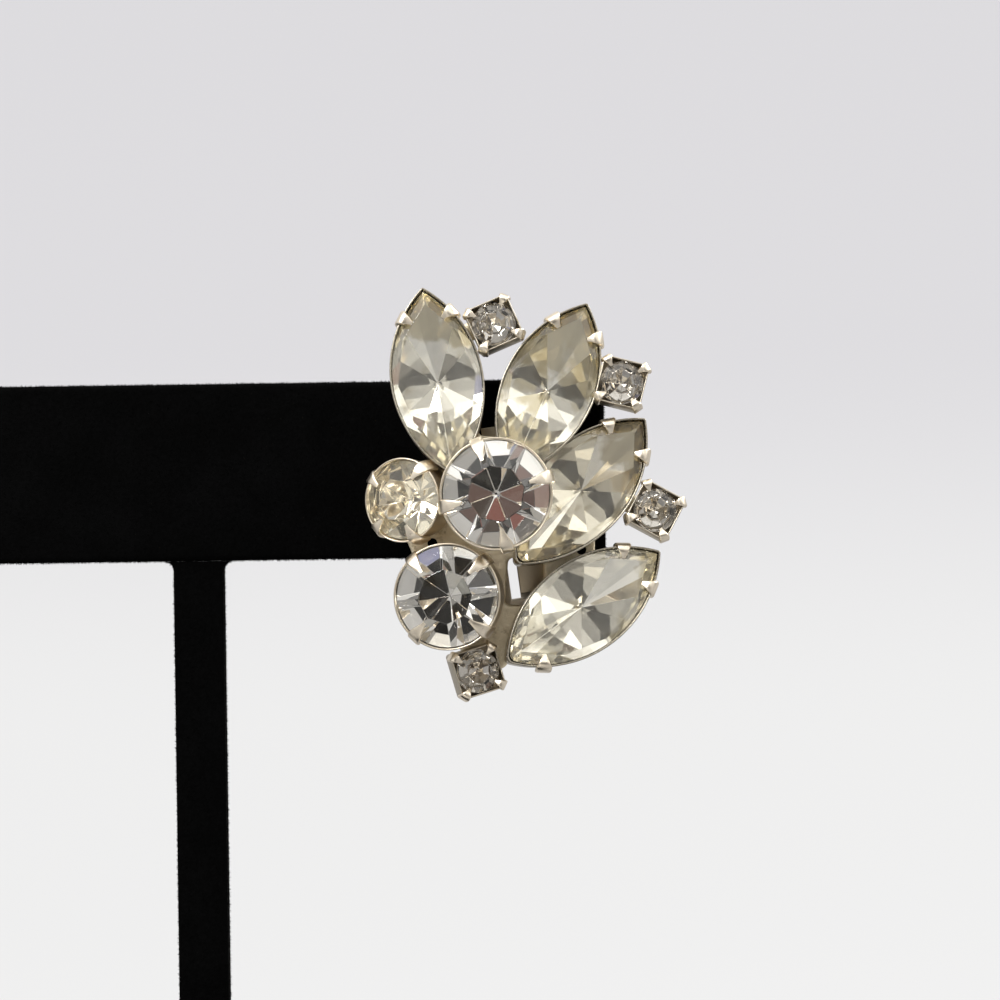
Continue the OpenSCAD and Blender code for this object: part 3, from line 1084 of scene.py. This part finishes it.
@dataclass(frozen=True)
class ConeSetting(RoundSetting):
    """Round setting with an upright rim on a cone that follows the stone's back."""

    skirt: float = 0.8
    foot: float = 0.8
    slope: float = 0.1

    def outer_wall(self) -> list[Pair]:
        """Rounded tip, cone and a soft bend into the skirt."""
        tip = self.radius - self.foot
        return [
            (tip + 0.2, -self.height), (tip, -self.height + 0.1), (0.4, -self.skirt - 0.4),
            (self.slope + 0.08, -self.skirt - 0.1), (self.slope, -self.skirt + 0.08),
        ]

    def inner_wall(self) -> list[Pair]:
        """The skirt's inside and the cone's inside."""
        inner, low = self.wall + self.slope, -self.skirt
        return [(inner, low), (inner + 0.3, low - 0.4), (self.radius - 0.45, FLOOR - self.height)]


@dataclass(frozen=True)
class BoxSetting(Setting):
    """Square sheet box of a small round stone, with a prong at each corner."""

    height: float = 2.3
    width: float = 3.75
    corner: float = 0.3
    wall: float = 0.11
    taper: float = 0.02
    gap: float = 0.02
    rounding: float = 0.24
    post: float = 0.85
    metal: Finish = BOX_METAL
    glass: Finish = GLASS_GREY
    foil: Finish = FOIL_GREY

    def outline(self) -> Outline:
        """Square with soft corners."""
        return SoftSquare(self.width, self.corner)

    def anchors(self) -> list[Spot]:
        """One prong at each corner, which is rounded off."""
        return around(self.width / math.sqrt(2) - self.rounding, (45, 135, 225, 315))

    def prongs(self) -> Prongs:
        """Narrow tabs that fold over the corners."""
        return Prongs(width=0.88, reach=0.85, leg=0.95, rise=0.3, tip=0.0, proud=0.06, thickness=0.32)

    def cut(self) -> Cut:
        """Small round stone."""
        radius = self.width / 2 - self.wall - self.gap
        return Cut(
            Circle(radius, sides=48), eight(radius, 0), eight(radius, 10), drop=0.3, band=0.08,
            crown=0.28 * radius, depth=self.height - 1.12, table=0.55, edge=0.02,
        )


def navette_seat(across: float, up: float, turn: float) -> Seat:
    """Seat of a navette, which leans outwards along its own length."""
    return Seat(across, up, rim=5.1, turn=turn, tilt=9.0, towards=90 + turn)


SETTINGS: tuple[Setting, ...] = (
    Navette("navette_upper_left", navette_seat(-4.6, 9.15, 8.4)),
    Navette("navette_upper_right", navette_seat(4.3, 8.35, -25.2)),
    Navette("navette_right", navette_seat(6.95, 0.3, -42.5), blunt=0.65, longer=0.06, foil=FOIL_BROWNED_AND_SHADED),
    Navette(
        "navette_lower_right", navette_seat(6.9, -9.1, -55.2), blunt=0.65, corners=((1, 1), (-1, 1), (1, -1))
    ),
    ConeSetting("round_centre", Seat(0, 0, 9.4), 4.75, angles=(17, 110, 193, 281), ridge=20, crown_ridge=12),
    RoundSetting(
        "round_lower", Seat(-4.05, -8.15, 6.2, 0, 6.5, 180), 4.5, radius=4.3, angles=(43, 132, 230, 318),
        ridge=8, crown_ridge=4, depth=0.87, taper=0.17,
    ),
    RoundSetting(
        "round_left", Seat(-7.55, -0.4, 5.5, 0, 28, 180), 3.5, radius=3.4, angles=(52, 145, 226, 292),
        ridge=12, crown_ridge=20, depth=0.8, edge=0.03, taper=0.4, glass=GLASS_AGED, foil=FOIL_BROWNED_AND_SHADED,
    ),
    BoxSetting("accent_top", Seat(0, 13.65, 4.8, 23, 10, 100)),
    BoxSetting("accent_upper_right", Seat(10.2, 8.8, 4.8, -15, 9, 80)),
    BoxSetting("accent_right", Seat(12.75, -1.45, 4.6, -29, 8, 60)),
    BoxSetting("accent_bottom", Seat(-1.6, -14.2, 4.2, 16, 13, 0)),
)


# Back plate, clip and stand


# The plate's hub, and start, end and width of its arms and thin solder strips
HUB = (-1.0, -0.5)
ARMS = (
    (HUB, (-5.2, 13.2), 2.6), (HUB, (6, 12.2), 2.6), (HUB, (9.8, 3.6), 2.6), ((6.8, 0.2), (6.8, -8.8), 2.2),
    ((2.5, -11.2), (10.5, -6.3), 2.6), ((-3.8, -10.4), (5, -10.7), 3.2), (HUB, (-3.8, -8.3), 3.4),
    ((-6.8, -0.6), (-4.2, -7), 3.2), ((-4.9, 12), (0, 13.8), 1.5), ((5.4, 11), (10.2, 8.7), 1.5),
    ((6.8, 0.2), (12.7, -1.5), 1.5), ((-3.8, -8.3), (-1.6, -14.2), 1.6), ((-0.8, -4.6), (-1.1, -8.4), 3.5),
    ((5.3, -3), (5.3, -8.2), 3.2), ((0, -10.7), (0, -13.3), 1.7),
)

# Places and radii of the plate's pierced holes
PIERCED = ((-5.2, -3.9, 0.4), (-6.5, -2.8, 0.35), (-3.5, -4.5, 0.45), (6.8, -4.6, 0.4))


@dataclass(frozen=True)
class BackPlate:
    """The soldered plate behind the cups, with its arms, pierced holes and the posts that carry the cups."""

    back: float = 0.8
    front: float = 1.4
    hub_radius: float = 5.2
    sunk: float = 0.1
    held: float = 0.15
    fillet: Pair = (0.25, 0.4)
    voxel: float = 0.16

    def posts(self, mesh: bmesh.types.BMesh) -> None:
        """Adds the post under each cup, on a fillet of solder.

        Args:
            mesh: the plate's mesh.
        """
        low = self.front - self.sunk
        wide, high = self.fillet
        for setting in SETTINGS:
            foot = setting.seat.foot(setting.height)
            post = Circle(setting.post, 24, (foot.x, foot.y))
            loft(mesh, [post.ring(-wide, low), post.ring(0, low + high), post.ring(0, foot.z + self.held)])

    def pierce(self, piece: bpy.types.Object) -> None:
        """Bores the small holes through the plate.

        Args:
            piece: the plate.
        """
        mesh, past = bmesh.new(), 0.5
        for across, up, radius in PIERCED:
            hole = Circle(radius, 24, (across, up))
            loft(mesh, [hole.ring(0, self.back - past), hole.ring(0, self.front + past)])
        borer = as_piece("borer", mesh, Matrix.Identity(4), [])
        cut = piece.modifiers.new("pierce", "BOOLEAN")
        cut.operation, cut.object, cut.solver = "DIFFERENCE", borer, "EXACT"
        settle(piece)
        bpy.data.objects.remove(borer)

    def build(self) -> None:
        """Fuses the arms and posts into one soft soldered piece, pierces it and hands it in."""
        mesh = bmesh.new()
        for outline in (Circle(self.hub_radius, 64, HUB), *(Bar(*arm) for arm in ARMS)):
            loft(mesh, [outline.ring(0, self.back), outline.ring(0, self.front)])
        self.posts(mesh)
        piece = as_piece("back_plate", mesh, Matrix.Identity(4), [])
        fuse = piece.modifiers.new("fuse", "REMESH")
        fuse.mode, fuse.voxel_size = "VOXEL", self.voxel
        soften = piece.modifiers.new("soften", "SMOOTH")
        soften.factor, soften.iterations = 0.5, 4
        settle(piece)
        self.pierce(piece)
        piece.data.transform(FACE)
        piece.data.materials.append(PLATE_METAL_LIT.material())
        shade(piece, angle=60)
        hand_in(piece, "rhodium", "setting")


@dataclass(frozen=True)
class RoundedCopy:
    """A solid's copy with softened edges."""

    node: str
    name: str
    edge: float
    steps: int
    finish: Finish = CLIP_METAL_SHADED
    slot: str = "clip_metal"
    body: str = BODY

    def build(self, solids: Solids) -> bpy.types.Object:
        """Copies the solid, rounds its sharp edges and hands it in.

        Args:
            solids: the frame's solids by node.

        Returns:
            The piece.
        """
        mesh = bmesh.new()
        mesh.from_mesh(solids[self.node].data)
        mesh.transform(Matrix.Scale(1 / MM, 4))
        bmesh.ops.remove_doubles(mesh, verts=mesh.verts, dist=1e-3)
        bmesh.ops.dissolve_limit(mesh, angle_limit=math.radians(2), verts=mesh.verts, edges=mesh.edges)
        least = math.radians(35)
        sharp = [edge for edge in mesh.edges if edge.is_manifold and edge.calc_face_angle(0) > least]
        bmesh.ops.bevel(
            mesh, geom=sharp, offset=self.edge, segments=self.steps, profile=0.5, affect="EDGES",
            clamp_overlap=True,
        )
        piece = as_piece(self.name, mesh, Matrix.Scale(MM, 4), [self.finish], smooth=40)
        hand_in(piece, self.slot, self.node, body=self.body)
        return piece


CLIP = (
    RoundedCopy("clip_base", "clip_base_strip", edge=0.1, steps=2),
    RoundedCopy("hinge_pin", "hinge_pin_rounded", edge=0.08, steps=2),
    RoundedCopy("clip_lever", "clip_lever_paddle", edge=0.14, steps=3, body=LEVER_BODY),
)


@dataclass(frozen=True)
class Stand:
    """The velvet boards and their pile."""

    edge: float = 0.5
    length: float = 0.16
    radius: float = 0.022
    boards: tuple[tuple[str, float], ...] = (("stand_bar", 13.0), ("stand_post", 15.0), ("stand_base", 6.0))

    def build(self, solids: Solids, recipe: Recipe) -> None:
        """Builds each board and plants its pile.

        Args:
            solids: the frame's solids by node.
            recipe: the pile's tree.
        """
        for node, density in self.boards:
            board = RoundedCopy(node, f"{node}_velvet", self.edge, 4, VELVET, "velvet").build(solids)
            data = board.data.copy()
            data.transform(Matrix.Scale(1 / MM, 4))
            piece = add(f"{node}_pile", data)
            recipe.apply(piece, VELVET, {"Density": density, "Length": self.length, "Radius": self.radius})
            piece.data.transform(Matrix.Scale(MM, 4))
            hand_in(piece, "velvet")


# Studio


@dataclass(frozen=True)
class Patch:
    """A soft round patch of the studio's surroundings: a lamp, a dark flag or a coloured card.

    It lies off the camera's axis by an angle, towards a direction on the face, and fades out between its
    middle and its edge.
    """

    off: float
    towards: float
    middle: float
    edge: float
    colour: Colour

    def lay(self, graph: Graph, way: Field, under: Field) -> Field:
        """Lays the patch over what the surroundings have so far.

        Args:
            graph: the world's graph.
            way: direction of view.
            under: the surroundings so far.

        Returns:
            The surroundings with the patch.
        """
        off, towards = math.radians(self.off), math.radians(self.towards)
        heart = Vector((math.sin(off) * math.cos(towards), -math.cos(off), math.sin(off) * math.sin(towards)))
        along = graph.field("ShaderNodeVectorMath", {0: way, 1: heart}, "Value", operation="DOT_PRODUCT")
        mask = graph.step(along, math.cos(math.radians(self.edge)), math.cos(math.radians(self.middle)))
        return graph.blend(mask, under, self.colour)


PATCHES = (
    # Soft lamps high on the left, on the right, above and low on the left
    Patch(60, 129, 14, 23, (2.9, 2.85, 2.75)),
    Patch(68, 31, 12.5, 20.5, (2.2, 2.15, 2.05)),
    Patch(75.5, 84, 17.8, 29, (1.75, 1.75, 1.72)),
    Patch(35, 70, 10, 17, (1.5, 1.5, 1.48)),
    Patch(40, 240, 8, 15, (1.2, 1.15, 1.05)),
    # Cards that show in the crowns of the round stones
    Patch(23, 85, 4, 7, (1.3, 1.29, 1.27)),
    Patch(24, 40, 4, 7, (1.15, 1.14, 1.1)),
    Patch(32, 140, 4, 7, (0.36, 0.37, 0.55)),
    Patch(23, 310, 5, 9, (0.16, 0.15, 0.14)),
    Patch(23, 152, 6, 11, (0.3, 0.29, 0.27)),
    Patch(23, 265, 4, 8, (0.4, 0.38, 0.35)),
    Patch(23, 355, 4, 7, (0.34, 0.25, 0.22)),
    # The dark side where the camera stands, with the small coloured flashes of the tables
    Patch(0, 0, 15, 21, (0.022, 0.021, 0.02)),
    Patch(7, 157, 1.4, 2.2, (0.13, 0.085, 0.075)),
    Patch(7, 112, 1.4, 2.2, (0.26, 0.11, 0.09)),
    Patch(7, 202, 1.4, 2.2, (0.2, 0.12, 0.1)),
    Patch(7, 22, 1.4, 2.2, (0.15, 0.1, 0.085)),
    Patch(7, 67, 1.6, 2.4, (0.09, 0.07, 0.06)),
    Patch(5, 130, 1.0, 1.7, (0.34, 0.34, 0.31)),
    Patch(11, 174, 1.6, 2.6, (0.42, 0.41, 0.38)),
)


@dataclass(frozen=True)
class Studio:
    """Pale sweep and lights in metres, surroundings that the stones mirror, and a camera in millimetres."""

    eye: float = 0.02
    floor: float = 0.3
    curve: float = 0.9
    height: float = 1.6
    gap: float = 0.0002
    lit: Triple = (0.02, 0, 0.06)
    roll: float = 0.8
    stand: Triple = (24.5, -457.0, 60.3)
    lens: float = 202.5

    def sweep(self) -> None:
        """Builds the round pale sweep, which only the camera sees."""
        steps, low = 24, -self.gap
        profile = [(self.eye, low), (self.floor, low)]
        for angle in (math.pi / 2 * i / steps for i in range(1, steps + 1)):
            bend = self.floor + self.curve * math.sin(angle)
            profile.append((bend, self.curve * (1 - math.cos(angle)) + low))
        profile.append((self.floor + self.curve, self.height))
        mesh = bmesh.new()
        loft(mesh, [Circle(radius, 96).ring(0, level)[::-1] for radius, level in profile], lid=False)
        piece = as_piece("sweep", mesh, Matrix.Identity(4), [SWEEP], smooth=60)
        piece.visible_diffuse = piece.visible_glossy = piece.visible_transmission = False
        piece.visible_shadow = False

    def surroundings(self) -> None:
        """Lights the world: bright all round, dark where the camera stands, with soft coloured patches."""
        world = bpy.data.worlds.new("surroundings")
        bpy.context.scene.world = world
        world.use_nodes = True
        graph = Graph(world.node_tree)
        way = graph.field("ShaderNodeTexCoord", out="Generated")
        cloudy = {"Vector": way, "Scale": 2.2, "Detail": 2.0, "Roughness": 0.5}
        clouds = graph.field("ShaderNodeTexNoise", cloudy)
        level = graph.step(graph.height(way), low=-0.6, high=0.9, start=0.55, end=0.85)
        level *= graph.step(clouds, low=0.38, high=0.62, start=0.6, end=1.12)
        total = graph.blend(level, (0.0, 0.0, 0.0), (1.0, 0.985, 0.96))
        for patch in PATCHES:
            total = patch.lay(graph, way, total)
        shader = graph.field("ShaderNodeBackground", {"Color": total, "Strength": 1.0})
        graph.node("ShaderNodeOutputWorld", {"Surface": shader})

    def lamps(self) -> None:
        """Adds soft round lamps from above, left and right: place, size and power."""
        rows = (("key", (-0.35, -0.45, 0.5), 0.3, 3.0), ("rim", (0.45, 0.2, 0.4), 0.25, 1.5))
        for name, place, size, power in rows:
            data = bpy.data.lights.new(name, "AREA")
            data.shape, data.size, data.energy = "DISK", size, power
            lamp = add(name, data)
            lamp.location = place
            lamp.rotation_euler = (Vector(self.lit) - Vector(place)).to_track_quat("-Z", "Y").to_euler()

    def camera(self) -> None:
        """Adds the camera: a long lens, level, with a slight roll."""
        roll = math.radians(self.roll)
        data = bpy.data.cameras.new("camera")
        data.lens, data.sensor_width, data.clip_start = self.lens, 36.0, 0.01
        right = Vector((math.cos(roll), 0, -math.sin(roll)))
        upward = Vector((math.sin(roll), 0, math.cos(roll)))
        turn = Matrix((right, upward, Vector((0, -1, 0)))).transposed().to_4x4()
        camera = add("camera", data)
        camera.matrix_world = Matrix.Translation(Vector(self.stand) * MM) @ turn
        bpy.context.scene.camera = camera

    def build(self) -> None:
        """Builds the whole studio."""
        self.camera()
        self.sweep()
        self.surroundings()
        self.lamps()
        view = bpy.context.scene.view_settings
        view.view_transform, view.look = "Standard", "None"
        cycles = bpy.context.scene.cycles
        cycles.max_bounces, cycles.glossy_bounces, cycles.transmission_bounces = 32, 24, 32


def main() -> None:
    """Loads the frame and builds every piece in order."""
    logging.basicConfig(level=logging.INFO, format="%(name)s: %(message)s")
    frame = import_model()
    solids = frame["nodes"]
    Studio().build()
    recipe = prong_recipe()
    for setting in SETTINGS:
        setting.build(recipe)
    BackPlate().build()
    for piece in CLIP:
        piece.build(solids)
    Stand().build(solids, pile_recipe())


if __name__ == "__main__":
    main()
